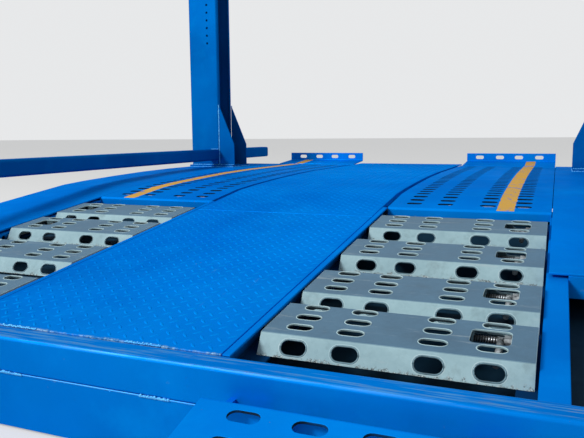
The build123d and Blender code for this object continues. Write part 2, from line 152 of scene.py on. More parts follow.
def movedMesh(mesh, name, matrix, mirrored=False):
    copy = mesh.copy()
    copy.name = name
    if mirrored:
        matrix = Matrix.Scale(-1, 4, (1, 0, 0)) @ matrix
    copy.transform(matrix)
    if mirrored:
        copy.flip_normals()
    return copy


def usesPlace(mesh, at):
    # the place in the list of materials that every face takes its own from
    for face in mesh.polygons:
        face.material_index = at
    return mesh


def hasMaterial(mesh, material):
    mesh.materials.clear()
    mesh.materials.append(material)
    return usesPlace(mesh, 0)


def joined(meshes, materials):
    # one mesh from several, whose faces keep their place in the list of materials
    work = bmesh.new()
    for mesh in meshes:
        work.from_mesh(mesh)
    result = bpy.data.meshes.new("mesh")
    work.to_mesh(result)
    work.free()
    for material in materials:
        result.materials.append(material)
    return result


def painted(meshes, material):
    # one mesh from several, all in one material
    for mesh in meshes:
        hasMaterial(mesh, material)
    return joined(meshes, [material])


def applied(item):
    # the object with its modifiers made real, as a plain mesh
    graph = bpy.context.evaluated_depsgraph_get()
    mesh = bpy.data.meshes.new_from_object(item.evaluated_get(graph), depsgraph=graph)
    bpy.data.objects.remove(item)
    return mesh


def softEdges(mesh, width, segments=2, angle=30, rim=-1):
    # rim is the material's place in the mesh's list for the rounded edges
    item = linkObject(mesh.name, mesh)
    bevel = item.modifiers.new("edges", "BEVEL")
    bevel.width = width
    bevel.segments = segments
    bevel.limit_method = "ANGLE"
    bevel.angle_limit = math.radians(angle)
    bevel.use_clamp_overlap = True
    bevel.material = rim
    return applied(item)


def bentOutline(points, radius, segments=3):
    # a closed outline whose corners are rounded: points are (a, b, how much of the radius)
    result = []
    count = len(points)
    for i, (a, b, part) in enumerate(points):
        if not part:
            result.append((a, b))
            continue
        here = Vector((a, b))
        before = (Vector(points[i - 1][:2]) - here).normalized()
        after = (Vector(points[(i + 1) % count][:2]) - here).normalized()
        half = before.angle(after) / 2
        size = radius * part
        centre = here + (before + after).normalized() * (size / math.sin(half))
        first = here + before * (size / math.tan(half)) - centre
        last = here + after * (size / math.tan(half)) - centre
        for k in range(segments + 1):
            result.append(tuple(centre + first.lerp(last, k / segments).normalized() * size))
    return result


def roundedBox(a0, a1, b0, b1, radius, segments=4):
    return bentOutline([(a0, b0, 1), (a1, b0, 1), (a1, b1, 1), (a0, b1, 1)], radius, segments)


def tube(box, bend, wall, start, end, axis="x"):
    a0, a1, b0, b1 = box
    inner = roundedBox(a0 + wall, a1 - wall, b0 + wall, b1 - wall, bend - wall)
    return prism(roundedBox(*box, bend), start, end, axis, inner)


def addPiece(name, mesh, replaced=(), body="deck_frame", place=None, mirrored=False):
    # a copy of the mesh, at the datum or at another place
    piece = linkObject(name, movedMesh(mesh, name, datumMatrix() if place is None else place, mirrored))
    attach(piece, body)
    if replaced:
        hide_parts(*replaced)


def addPair(name, mesh, node, body="deck_frame"):
    # one piece on the right and its mirror image on the left; the hand goes into node and body
    for hand in ("right", "left"):
        addPiece(name + hand.title(), mesh, [node.format(hand)], body.format(hand), mirrored=hand == "left")
    bpy.data.meshes.remove(mesh)


# Node trees

def wire(tree, node, inputs):
    # an input takes a value, or the output of another node
    for key, value in inputs.items():
        if isinstance(value, bpy.types.NodeSocket):
            tree.links.new(value, node.inputs[key])
        else:
            node.inputs[key].default_value = value


def addNode(tree, kind, inputs=None, out=0, **settings):
    # makes a node and gives back one of its outputs
    made = tree.nodes.new(kind)
    for key, value in settings.items():
        setattr(made, key, value)
    wire(tree, made, inputs or {})
    return made.outputs[out]


def maths(tree, operation, *values):
    return addNode(tree, "ShaderNodeMath", dict(enumerate(values)), operation=operation)


def times(tree, a, b):
    return maths(tree, "MULTIPLY", a, b)


def grown(name, sizes, build, mesh=None, places=None):
    # the mesh that a node tree makes from another or from nothing. The sizes are the tree's inputs,
    # build adds its nodes and gives back the geometry, and places are points in an object of their own.
    if places:
        sizes = dict(sizes, Places=linkObject(name + "Places", places))
    tree = bpy.data.node_groups.new(name, "GeometryNodeTree")
    for way in ("INPUT", "OUTPUT"):
        tree.interface.new_socket("Geometry", in_out=way, socket_type="NodeSocketGeometry")
    for label, value in sizes.items():
        kind = "NodeSocket" + type(value).__name__.title()  # of Float, Int, Material or Object
        tree.interface.new_socket(label, in_out="INPUT", socket_type=kind)
    start, end = tree.nodes.new("NodeGroupInput"), tree.nodes.new("NodeGroupOutput")
    coat = addNode(tree, "GeometryNodeSetMaterial",
                   {"Geometry": build(tree, start.outputs), "Material": start.outputs["Finish"]})
    tree.links.new(coat, end.inputs[0])
    item = linkObject(name, mesh or bpy.data.meshes.new(name))
    modifier = item.modifiers.new("nodes", "NODES")
    modifier.node_group = tree
    for socket in tree.interface.items_tree:
        if socket.in_out == "INPUT" and socket.name in sizes:
            modifier[socket.identifier] = sizes[socket.name]
    made = applied(item)
    if places:
        bpy.data.objects.remove(sizes["Places"])
    return made


# the turns of holes whose axis is y, and x
alongY = (math.radians(90), 0, 0)
alongX = (0, math.radians(90), 0)


def pointMesh(places, turns=(0, 0, 0)):
    # turns is one turn for every place, or a list of them
    mesh = meshFrom(places, [])
    turn = mesh.attributes.new("turn", "FLOAT_VECTOR", "POINT")
    for i in range(len(places)):
        turn.data[i].vector = turns[i] if isinstance(turns, list) else turns
    return mesh


def roundedLoop(tree, given, steps=4):
    loop = addNode(tree, "GeometryNodeCurvePrimitiveQuadrilateral",
                   {"Width": given["Length"], "Height": given["Width"]})
    return addNode(tree, "GeometryNodeFilletCurve",
                   {"Curve": loop, "Count": steps, "Radius": given["Corner"], "Limit Radius": True},
                   mode="POLY")


def circle(tree, radius, sides=6):
    return addNode(tree, "GeometryNodeCurvePrimitiveCircle", {"Resolution": sides, "Radius": radius})


def swept(tree, path, profile):
    return addNode(tree, "GeometryNodeCurveToMesh",
                   {"Curve": path, "Profile Curve": profile, "Fill Caps": True})


def upward(tree, height, factor):
    return addNode(tree, "ShaderNodeCombineXYZ", {2: times(tree, height, factor)})


def onPlaces(tree, given, shape, scale=(1.0, 1.0, 1.0), offset=(0.0, 0.0, 0.0)):
    # the shape on every point of the places, turned by the point's own turn
    points = addNode(tree, "GeometryNodeObjectInfo", {"Object": given["Places"]}, "Geometry")
    moved = addNode(tree, "GeometryNodeSetPosition", {"Geometry": points, "Offset": offset})
    turn = addNode(tree, "GeometryNodeInputNamedAttribute", {"Name": "turn"}, data_type="FLOAT_VECTOR")
    placed = addNode(tree, "GeometryNodeInstanceOnPoints",
                     {"Points": moved, "Instance": shape, "Rotation": turn, "Scale": scale})
    return addNode(tree, "GeometryNodeRealizeInstances", {"Geometry": placed})


def perforated(mesh, hole, finish, places, turns=(0, 0, 0), depth=0.02):
    # holes cut through a plate: a hole is its length, its width and, unless its ends are round, its corners
    length, width, corner = (*hole, hole[1] / 2)[:3]

    def cut(tree, given):
        ends = {"Start": upward(tree, given["Depth"], -1), "End": upward(tree, given["Depth"], 1)}
        path = addNode(tree, "GeometryNodeCurvePrimitiveLine", ends)
        cutters = onPlaces(tree, given, swept(tree, path, roundedLoop(tree, given)))
        return addNode(tree, "GeometryNodeMeshBoolean", {"Mesh 1": given["Geometry"], "Mesh 2": cutters},
                       operation="DIFFERENCE", solver="EXACT")

    sizes = {"Length": length, "Width": width, "Corner": corner, "Depth": depth, "Finish": finish}
    return grown("perforate", sizes, cut, mesh, pointMesh(places, turns))


def grimyHoles(mesh, material, facing, largest, slant=0.3):
    # the holes' walls, which are small faces that stand across the sheet, take the dark paint, a painted
    # shade in the holes
    hasMaterial(mesh, material)
    mesh.materials.append(holePaint)
    across = Vector(facing)
    for face in mesh.polygons:
        if face.area < largest and abs(face.normal.dot(across)) < slant:
            face.material_index = 1
    return mesh


# Materials, all from nodes on Object coordinates

def newMaterial(name):
    material = bpy.data.materials.new(name)
    material.use_nodes = True
    tree = material.node_tree
    tree.nodes.clear()
    output = tree.nodes.new("ShaderNodeOutputMaterial")
    shader = tree.nodes.new("ShaderNodeBsdfPrincipled")
    tree.links.new(shader.outputs[0], output.inputs[0])
    return material, tree, shader


def ownPlace(tree):
    return addNode(tree, "ShaderNodeTexCoord", out="Object")


def axisOf(tree, at):
    return addNode(tree, "ShaderNodeSeparateXYZ", {0: ownPlace(tree)}, at)


def facingUp(tree):
    # how far a face looks up in its own mesh, so a tipped plank keeps its colours
    normal = addNode(tree, "ShaderNodeTexCoord", out="Normal")
    return addNode(tree, "ShaderNodeSeparateXYZ", {0: normal}, 2)


def noise(tree, scale, detail, rough=0.55, stretch=(1, 1, 1)):
    mapped = addNode(tree, "ShaderNodeMapping", {"Vector": ownPlace(tree), "Scale": stretch})
    return addNode(tree, "ShaderNodeTexNoise",
                   {"Vector": mapped, "Scale": scale, "Detail": detail, "Roughness": rough})


def between(tree, value, low, high, out0=0.0, out1=1.0):
    return addNode(tree, "ShaderNodeMapRange",
                   {"Value": value, "From Min": low, "From Max": high, "To Min": out0, "To Max": out1})


def mixed(tree, factor, a, b, how="MIX"):
    return addNode(tree, "ShaderNodeMix", {0: factor, 6: a, 7: b}, 2, data_type="RGBA", blend_type=how)


def bumps(tree, scale, detail, strength, distance):
    return addNode(tree, "ShaderNodeBump",
                   {"Height": noise(tree, scale, detail), "Strength": strength, "Distance": distance})


# A mark is a noise: its scale, detail and roughness, the band in which it goes from one value to another,
# those two values and, for some, how it is stretched.
marks = {
    "patches": (1.6, 4.0, 0.55, 0.35, 0.68, 0.0, 1.0),
    "faded": (5.0, 6.0, 0.65, 0.52, 0.74, 0.0, 0.45),
    "rubAndGlint": (3.0, 5.0, 0.7, 0.35, 0.65, 0.3, 1.0),
    "wobble": (60.0, 2.0, 0.55, 0.3, 0.7, -0.0015, 0.0015),
    "worn": (26.0, 6.0, 0.7, 0.33, 0.43, 0.0, 1.0),
    "streaks": (30.0, 5.0, 0.7, 0.66, 0.73, 0.0, 0.16, (1.0, 0.09, 1.0)),
    "scratches": (120.0, 4.0, 0.7, 0.50, 0.60, 0.0, 0.55, (0.035, 1.0, 1.0)),
    "bared": (30.0, 5.0, 0.8, 0.52, 0.6, 0.0, 1.0),
    "chips": (85.0, 3.0, 0.6, 0.73, 0.76, 0.0, 0.4),
    "film": (2.3, 7.0, 0.7, 0.42, 0.78, 0.0, 0.16),
    "seamEdge": (9.0, 7.0, 0.75, 0.3, 0.7, -0.006, 0.006),
    "grit": (75.0, 7.0, 0.85, 0.46, 0.56, 0.0, 1.0),
    "paintRough": (7.0, 5.0, 0.55, 0.3, 0.7, 0.36, 0.56),
    "scuffs": (40.0, 6.0, 0.75, 0.58, 0.68, 0.0, 0.40, (0.12, 1.0, 1.0)),
    "dirtEdge": (70.0, 7.0, 0.8, 0.3, 0.7, -0.30, 0.30),
    "flecks": (400.0, 3.0, 0.7, 0.50, 0.58, 0.0, 1.0),
    "grime": (13.0, 7.0, 0.7, 0.54, 0.76, 0.0, 0.5),
    "holeShade": (30.0, 5.0, 0.55, 0.40, 0.75, 0.0, 0.30),
    "steelTones": (55.0, 5.0, 0.55, 0.42, 0.62, 0.0, 1.0),
    "steelRough": (90.0, 3.0, 0.55, 0.3, 0.7, 0.32, 0.55),
    "underShadeTones": (20.0, 6.0, 0.55, 0.4, 0.7, 0.0, 1.0),
}
# Bands of other values: of a face's way up, of a distance or height in metres, and of the zinc's pattern
bands = {
    "stripeUp": (0.80, 0.85),
    "filmUp": (-0.2, 0.9, 0.3, 1.0),
    "seam": (0.0, 0.005, 0.7, 0.0),
    "recessShade": (-0.036, -0.018, 0.9, 0.0),
    "spangle": (0, 1, -0.04, 0.04),
    "zincTone": (0.32, 0.66),
    "zincTopShade": (0.70, 0.92),
    "dirt": (0.91, 1.04, 0.0, 0.9),
    "grimeUp": (0.35, 0.95, 1.0, 0.35),
    "zincRough": (0.3, 0.7, 0.45, 0.62),
}


def mark(tree, name, strength=1.0):
    scale, detail, rough, low, high, out0, out1, *stretch = marks[name]
    found = noise(tree, scale, detail, rough, *stretch)
    return between(tree, found, low, high, out0 * strength, out1 * strength)


paint = {
    "blue": (0.0, 0.205, 0.72, 1),
    "blueDeep": (0.0, 0.145, 0.56, 1),
    "blueFaded": (0.0, 0.265, 0.80, 1),
    "blueRubAndGlint": (0.0, 0.32, 0.84, 1),
    # weld is the pale blue of a painted highlight on the welds and the seam
    "weld": (0.16, 0.56, 0.88, 1),
    "gloss": (0.0, 0.42, 1.0, 1),
    "dust": (0.01, 0.20, 0.42, 1),
    "primer": (0.22, 0.36, 0.48, 1),
    "scratch": (0.16, 0.40, 0.62, 1),
    "bare": (0.26, 0.36, 0.42, 1),
    "recessShade": (0.004, 0.016, 0.034, 1),
    "rust": (0.16, 0.055, 0.022, 1),
    "yellow": (0.74, 0.40, 0.035, 1),
    "underShadeLight": (0.006, 0.034, 0.064, 1),
    "grit": (0.38, 0.55, 0.60, 1),
    "gritDark": (0.030, 0.14, 0.30, 1),
    "underseal": (0.003, 0.024, 0.050, 1),
    "stripe": (0.717, 0.772, 0.0008),  # its two edges, and how soft they are
    "scuffed": (0.026, 0.018),  # from and to how far below the datum the beam is scratched
    "metal": 0.35,
    "bumps": (140.0, 3.0, 0.10, 0.0006),
}


def bluePaint(name, wear=1.0, dust=1.0, stripe=False, scuffed=False, shadedBelow=False, rubAndGlint=0.0,
              light="blueRubAndGlint", seam=False, paintedShade=1.0):
    material, tree, shader = newMaterial(name)
    up = facingUp(tree)
    colour = mixed(tree, mark(tree, "patches"), paint["blueDeep"], paint["blue"])
    colour = mixed(tree, mark(tree, "faded"), colour, paint["blueFaded"])
    # a lighter blue in patches: worn paint and painted highlight on the lozenges, painted highlight on the
    # welds and the seam
    if rubAndGlint:
        colour = mixed(tree, mark(tree, "rubAndGlint", rubAndGlint), colour, paint[light])
    if stripe:
        low, high, soft = paint["stripe"]
        out = maths(tree, "ADD", maths(tree, "ABSOLUTE", axisOf(tree, 0)), mark(tree, "wobble"))
        inside = times(tree, between(tree, out, low - soft, low + soft),
                       between(tree, out, high - soft, high + soft, 1.0, 0.0))
        inside = times(tree, inside, between(tree, up, *bands["stripeUp"]))
        colour = mixed(tree, times(tree, inside, mark(tree, "worn")), colour, paint["yellow"])
    colour = mixed(tree, mark(tree, "streaks", wear), colour, paint["primer"])
    if scuffed:
        heights = [deck["datumZ"] - down for down in paint["scuffed"]]
        scratched = times(tree, between(tree, axisOf(tree, 2), *heights), mark(tree, "scratches"))
        tone = mixed(tree, mark(tree, "bared"), paint["scratch"], paint["bare"])
        colour = mixed(tree, scratched, colour, tone)
    colour = mixed(tree, mark(tree, "chips", wear), colour, paint["rust"])
    film = times(tree, mark(tree, "film", dust), between(tree, up, *bands["filmUp"]))
    colour = mixed(tree, film, colour, paint["dust"])
    if seam:
        # pale and brown grit lies along the seam between the rear beam and the deck
        off = maths(tree, "ABSOLUTE", maths(tree, "ADD", axisOf(tree, 1), -deck["datumY"] - deck["rear"]))
        off = maths(tree, "ADD", off, mark(tree, "seamEdge"))
        tone = mixed(tree, mark(tree, "grit"), paint["gritDark"], paint["grit"])
        colour = mixed(tree, between(tree, off, *bands["seam"]), colour, tone)
    if shadedBelow:
        # painted shade: what lies below the sloping deck is darker the deeper it lies
        slope = math.tan(math.radians(deck["slope"]))
        height = maths(tree, "MULTIPLY_ADD", axisOf(tree, 1), -slope, axisOf(tree, 2))
        level = deck["datumZ"] - slope * deck["datumY"]
        low, high, most, least = bands["recessShade"]
        depth = between(tree, height, level + low, level + high, most, least)
        colour = mixed(tree, depth, colour, paint["recessShade"])
    # painted shade: the whole colour darkened, a copy of the blue as it looks in shade
    if paintedShade < 1.0:
        colour = mixed(tree, 1.0, colour, (paintedShade, paintedShade, paintedShade, 1), "MULTIPLY")
    wire(tree, shader, {
        "Base Color": colour, "Roughness": mark(tree, "paintRough"), "Metallic": paint["metal"],
        "Specular IOR Level": 0.0, "Specular Tint": paint["gloss"], "Normal": bumps(tree, *paint["bumps"]),
    })
    return material


zinc = {
    "bright": (0.305, 0.450, 0.490, 1),
    "dull": (0.225, 0.345, 0.385, 1),
    # top darkens the zinc on upward faces and turns it bluer: painted shade and painted reflection of the sky
    "top": (0.29, 0.385, 0.52, 1),
    "gloss": (0.55, 0.80, 1.0, 1),
    "scuff": (0.36, 0.43, 0.45, 1),
    # rim is the lighter zinc of a painted highlight
    "rim": (0.39, 0.52, 0.55, 1),
    "fleck": (0.48, 0.55, 0.55, 1),
    # ring and ringDeep are the dark ring round the face holes: painted shade
    "ring": (0.105, 0.195, 0.240, 1),
    "ringDeep": (0.060, 0.115, 0.145, 1),
    "grime": (0.045, 0.048, 0.046, 1),
    "cells": 120.0,
    "clouds": (8.0, 6.0, 0.6),
    "specular": 0.12,
    "bumps": (60.0, 5.0, 0.15, 0.0008),
}


def galvanised(name, rim=False):
    # the zinc of the planks, or with rim the lighter zinc round their holes and on their rounded edges, a
    # painted highlight
    material, tree, shader = newMaterial(name)
    up = facingUp(tree)
    cells = addNode(tree, "ShaderNodeTexVoronoi", {"Vector": ownPlace(tree), "Scale": zinc["cells"]}, "Color")
    spangle = between(tree, addNode(tree, "ShaderNodeSeparateColor", {0: cells}), *bands["spangle"])
    clouds = noise(tree, *zinc["clouds"])
    tone = between(tree, maths(tree, "ADD", spangle, clouds), *bands["zincTone"])
    dull, bright = ("bright", "rim") if rim else ("dull", "bright")
    colour = mixed(tree, tone, zinc[dull], zinc[bright])
    # painted shade and painted reflection: upward faces darker and bluer
    if not rim:
        colour = mixed(tree, between(tree, up, *bands["zincTopShade"]), colour, zinc["top"], "MULTIPLY")
    colour = mixed(tree, mark(tree, "scuffs"), colour, zinc["scuff"])
    if not rim:
        # dirt lies along the feet of the sloping faces, where the attribute low comes near 1
        low = addNode(tree, "ShaderNodeAttribute", out="Fac", attribute_name="low")
        foot = between(tree, maths(tree, "ADD", low, mark(tree, "dirtEdge")), *bands["dirt"])
        dirt = mixed(tree, mark(tree, "flecks"), zinc["grime"], zinc["fleck"])
        colour = mixed(tree, foot, colour, dirt)
        grime = times(tree, mark(tree, "grime"), between(tree, up, *bands["grimeUp"]))
        colour = mixed(tree, grime, colour, zinc["grime"])
    wire(tree, shader, {
        "Base Color": colour, "Roughness": between(tree, clouds, *bands["zincRough"]),
        "Specular IOR Level": zinc["specular"], "Specular Tint": zinc["gloss"],
        "Normal": bumps(tree, *zinc["bumps"]),
    })
    return material


def twoTone(name, look, first, second, rough=None, specular=0.5, metal=0.0):
    # one colour into another as the mark has it, as rough as bare steel unless a roughness is given
    material, tree, shader = newMaterial(name)
    wire(tree, shader, {
        "Base Color": mixed(tree, mark(tree, look), first, second),
        "Roughness": mark(tree, "steelRough") if rough is None else rough,
        "Specular IOR Level": specular, "Metallic": metal,
    })
    return material


steel = {
    "light": (0.55, 0.60, 0.63, 1), "dark": (0.22, 0.24, 0.25, 1), "metal": 0.7,
    "spring": (0.040, 0.042, 0.046, 1), "springDark": (0.014, 0.013, 0.012, 1), "dullMetal": 0.2,
}

deckPaint = bluePaint("deckPaint")
trackPaint = bluePaint("trackPaint", wear=1.2, stripe=True)
# the posts and rails take the deck's blue darkened by painted shade
framePaint = bluePaint("framePaint", wear=0.7, dust=0.6, paintedShade=0.55)
platePaint = bluePaint("platePaint", wear=0.6, dust=0.8, seam=True)
# the rear beam's blue is darkened a little by painted shade
beamPaint = bluePaint("beamPaint", wear=0.9, scuffed=True, seam=True, paintedShade=0.88)
# the channels along the wells take painted shade below the deck
channelPaint = bluePaint("channelPaint", wear=0.8, dust=0.6, shadedBelow=True)
# the lozenges' lighter tops are worn paint and a painted glint
lozengePaint = bluePaint("lozengePaint", wear=0.6, dust=0.5, rubAndGlint=0.35)
# the welds' pale blue is a painted highlight
weldPaint = bluePaint("weldPaint", wear=2.0, dust=0.5, rubAndGlint=0.9, light="weld")
# the seam's pale line takes the welds' painted highlight
seamPaint = bluePaint("seamPaint", wear=1.5, dust=0.5, rubAndGlint=0.45, light="weld")
# holePaint is the painted shade on the walls of slots and holes
holePaint = twoTone("holePaint", "holeShade", paint["recessShade"], paint["blueDeep"], 0.75, 0.05)
# a near-black navy for what lies under the deck: painted shade
sealFinish = twoTone("sealFinish", "underShadeTones", paint["underseal"], paint["underShadeLight"], 0.8, 0.15)
zincFinish = galvanised("zincFinish")
rimFinish = galvanised("rimFinish", rim=True)
ringFinish = twoTone("ringFinish", "steelTones", zinc["ring"], zinc["ringDeep"], metal=steel["dullMetal"])
steelFinish = twoTone("steelFinish", "steelTones", steel["light"], steel["dark"], metal=steel["metal"])
springFinish = twoTone("springFinish", "steelTones", steel["spring"], steel["springDark"],
                       metal=steel["dullMetal"])
print("materials made")


# Planks, in their own place: x along the plank, y along the deck, z up

plank = {
    "length": 0.515, "top": 0.158, "spread": 0.029, "height": 0.038, "sheet": 0.004, "bend": 0.007,
    "inner": 0.362, "pitch": 0.058, "steps": {"right": (0, 4, 9, 14), "left": (0, 5, 10, 14)},
    "columns": (0.069, 0.175, 0.334, 0.440), "rows": (0.037, 0.089, 0.141), "topHole": (0.054, 0.028),
    "faceColumns": (0.074, 0.178, 0.335, 0.441), "faceHole": (0.053, 0.029), "faceDown": 0.026,
    "windowPlace": (0.433, 0.088), "window": (0.074, 0.062, 0.011), "edge": 0.0010,
    "topRim": (0.0006, 0.0014, 0.0006), "faceRing": (0.0012, 0.0022, 0.0012),
    "faceRim": (0.0038, 0.0017, 0.0014), "tongue": (0.060, 0.016, 0.008, 0.010), "guide": (0.028, 0.004),
}
latch = {
    "row": 0.140, "level": 0.02915, "length": 0.131, "radius": 0.006, "collar": (0.008, 0.014),
    "spring": 0.0068, "wire": 0.0012, "turns": 9.0, "handle": (0.0068, 0.108),
    "bush": (0.0125, 0.016), "play": 0.0005, "sides": 16, "handleSides": 12, "coilSteps": 14,
}


def rims(name, hole, places, turns, finish, at):
    # a bead round each hole, partly sunk in the sheet; its finish is at that place in the plank's list
    out, radius, sunk = plank[name]

    def beads(tree, given):
        bead = swept(tree, roundedLoop(tree, given), circle(tree, given["Bead"]))
        lowered = {"Geometry": bead, "Translation": upward(tree, given["Sunk"], -1)}
        return onPlaces(tree, given, addNode(tree, "GeometryNodeTransform", lowered))

    sizes = {"Length": hole[0] + 2 * out, "Width": hole[1] + 2 * out, "Corner": hole[1] / 2 + out,
             "Bead": radius, "Sunk": sunk, "Finish": finish}
    mesh = grown("rims", sizes, beads, places=pointMesh(places, turns))
    fixNormals(mesh)
    return smoothed(usesPlace(mesh, at))


def plankBody():
    p = plank
    top, spread, height, sheet = p["top"], p["spread"], p["height"], p["sheet"]
    lean = math.hypot(spread, height) / height * sheet
    inside = spread * (height - sheet) / height
    thin = 1 - sheet / p["bend"]
    far = top + spread
    outer = [(-spread, -height, 0), (0, 0, 1), (top, 0, 1), (far, -height, 0)]
    inner = [(far - lean, -height, 0), (far - lean - inside, -sheet, thin),
             (lean + inside - spread, -sheet, thin), (lean - spread, -height, 0)]
    skin = prism(bentOutline(outer + inner, p["bend"]), 0, p["length"])

    missing = p["columns"][-1], p["rows"][1]  # where the latch's window is
    places = [(x, y, 0) for x in p["columns"] for y in p["rows"] if (x, y) != missing]
    # the pale beads round the top holes are a painted highlight
    beads = [rims("topRim", p["topHole"], places, (0, 0, 0), rimFinish, 1)]
    skin = perforated(skin, p["topHole"], zincFinish, places)
    angle = math.atan2(height, spread)
    out, down = p["faceDown"] * math.cos(angle), p["faceDown"] * math.sin(angle)
    places = [(x, y, -down) for y in (-out, top + out) for x in p["faceColumns"]]
    turns = [(turn, 0, 0) for turn in (angle, -angle) for x in p["faceColumns"]]
    # round each face hole a dark ring of painted shade, and outside it a pale bead of painted highlight
    beads.append(rims("faceRing", p["faceHole"], places, turns, ringFinish, 2))
    beads.append(rims("faceRim", p["faceHole"], places, turns, rimFinish, 1))
    skin = perforated(skin, p["faceHole"], zincFinish, places, turns)
    skin = perforated(skin, p["window"], zincFinish, [(*p["windowPlace"], 0)])
    hasMaterial(skin, zincFinish)
    # the rounded edges take the lighter zinc: a painted highlight
    skin.materials.append(rimFinish)
    skin = softEdges(skin, p["edge"], rim=1)

    section = [point[:2] for point in inner]
    ends = [prism(section, at, at + sheet) for at in (0, p["length"] - sheet)]
    wide, reach, thick, drop = p["tongue"]
    ends.append(slab(-reach, 0, top / 2 - wide / 2, top / 2 + wide / 2, -drop - thick, -drop))
    wide, thick = p["guide"]
    x, half = p["windowPlace"][0], p["window"][0] / 2
    for at in (x - half - thick, x + half):
        ends.append(slab(at, at + thick, latch["row"] - wide / 2, latch["row"] + wide / 2, -height, -sheet))
    body = joined([skin, painted(ends, zincFinish)] + beads, [zincFinish, rimFinish, ringFinish])
    low = body.attributes.new("low", "FLOAT", "POINT")
    for i, vertex in enumerate(body.vertices):
        low.data[i].value = max(0.0, -vertex.co.z / height)
    return body


def coil(tree, given):
    spiral = addNode(tree, "GeometryNodeCurveSpiral",
                     {"Resolution": latch["coilSteps"], "Rotations": given["Turns"],
                      "Height": given["Length"], "Start Radius": given["Radius"],
                      "End Radius": given["Radius"]})
    return swept(tree, spiral, circle(tree, given["Wire"]))


def latchBody():
    # the bolt with its collar and handle, drawn back, and the spring between guide and collar
    s = latch
    y, z = s["row"], -s["level"]
    x, half, end = plank["windowPlace"][0], plank["window"][0] / 2, plank["length"]

    def turned(radius, x0, x1, bore=None):
        inner = ring(bore, s["sides"], y, z) if bore else None
        return prism(ring(radius, s["sides"], y, z), x0, x1, inner=inner)

    bolt = turned(s["radius"], end - s["length"], end)
    radius, long = s["collar"]
    collarStart = x + long / 2
    collar = turned(radius, collarStart, collarStart + long)
    handle = prism(ring(s["handle"][0], s["handleSides"]), 0, s["handle"][1])
    turn = Matrix.Rotation(math.radians(-90), 4, "Z")
    handle.transform(Matrix.Translation((collarStart + long / 2, y, z)) @ turn)
    radius, long = s["bush"]
    bush = turned(radius, x + half - long, x + half, s["radius"] + s["play"])
    meshes = [smoothed(bolt), smoothed(collar), smoothed(handle), bush]
    springStart = x - half
    spring = grown("coil", {"Turns": s["turns"], "Radius": s["spring"], "Wire": s["wire"],
                            "Length": collarStart - springStart, "Finish": springFinish}, coil)
    fixNormals(spring)
    spring.transform(Matrix.Translation((springStart, y, z)) @ Matrix.Rotation(math.radians(90), 4, "Y"))
    return painted(meshes, steelFinish), smoothed(spring)


def makePlanks():
    body = plankBody()
    bolt, spring = latchBody()
    for hand, steps in plank["steps"].items():
        for number, step in enumerate(steps, start=1):
            along = Matrix.Translation((plank["inner"], step * plank["pitch"], 0))
            place = datumMatrix() @ slopeMatrix() @ along
            node = f"plank_{hand}_{number}"
            for name, mesh, slot, replaced in (
                ("plank", body, "galvanised", [node]),
                ("plankBolt", bolt, "bare_steel", [f"plank_bolt_{hand}_{number}"]),
                ("plankSpring", spring, "bare_steel", []),
            ):
                addPiece(f"{name}{hand.title()}{number}", mesh, replaced, node, place, hand == "left")
    print("planks, bolts and springs made")


# Track plates, wheel stops and rear flaps, all with long slots; the right-hand one is mirrored

track = {
    "inner": 0.352, "outer": 0.887, "start": 1.086 * math.cos(math.radians(deck["slope"])), "nearLip": 0.030,
    "sideLip": 0.018, "sideLipEnd": 2.85, "bend": 0.009, "columns": (0.432, 0.541, 0.684, 0.798),
    "slot": (0.054, 0.026), "pitch": 0.0575, "first": 0.067, "rows": 30, "rim": 0.0012,
}
stop = {
    "start": 2.99, "end": 3.206, "rise": 0.017, "height": 0.050, "bend": 0.010, "rim": 0.0012,
    "columns": (0.432, 0.556, 0.671, 0.792), "hole": (0.050, 0.022), "arms": (0.422, 0.807),
    "arm": (0.010, 0.056), "armRim": 0.001,
}
flap = {
    "edge": -0.215, "drop": 0.050, "slope": 14, "length": 0.330, "frontLip": 0.037, "rearLip": 0.025,
    "bend": 0.009, "columns": (0.447, 0.561, 0.674, 0.815), "slot": (0.058, 0.028), "first": 0.038,
    "pitch": 0.066, "rows": 4, "rim": 0.0012, "knuckles": (0.422, 0.817), "knuckle": (0.014, 0.060),
    "bore": 0.0082, "sides": 20, "pivot": (-0.192, -0.084), "tabGap": 0.009,
}


def trackPlate():
    t, sheet = track, deck["sheet"]
    start = t["start"]
    thin = 1 - sheet / t["bend"]
    line, under = deckLine(start, deck["front"]), deckLine(start + sheet, deck["front"], sheet)
    near = line[0][1]
    outline = [(start, near - t["nearLip"], 0), (start, near, 1)] + [(y, z, 0) for y, z in line[1:]]
    outline += [(y, z, 0) for y, z in under[:0:-1]]
    outline += [(*under[0], thin), (start + sheet, near - t["nearLip"], 0)]
    plate = prism(bentOutline(outline, t["bend"]), t["inner"], t["outer"])
    rows = [start + t["first"] + row * t["pitch"] for row in range(t["rows"])]
    places = [(x, y, deckHeight(y)) for y in rows for x in t["columns"]]
    turns = [(deckAngle(y), 0, 0) for x, y, z in places]
    plate = perforated(plate, t["slot"], trackPaint, places, turns)
    plate = softEdges(grimyHoles(plate, trackPaint, (0, 0, 1), t["slot"][0] * sheet), t["rim"])
    outline = deckSheet(start + sheet, t["sideLipEnd"], sheet, t["sideLip"])
    lips = [prism(outline, x, x + sheet) for x in (t["inner"], t["outer"] - sheet)]
    return joined([plate, painted(lips, trackPaint)], [trackPaint, holePaint])


def armsAt(columns, tail):
    # arms from the front beam, whose top edge ends with the points of the tail
    wide, deep = stop["arm"]
    front = deck["front"]
    under = deckHeight(front) - deck["sheet"]
    outline = [(front, under), (front, under - deep), (tail[0][0], under - deep / 2)] + tail
    return [softEdges(prism(outline, x, x + wide), stop["armRim"]) for x in columns]


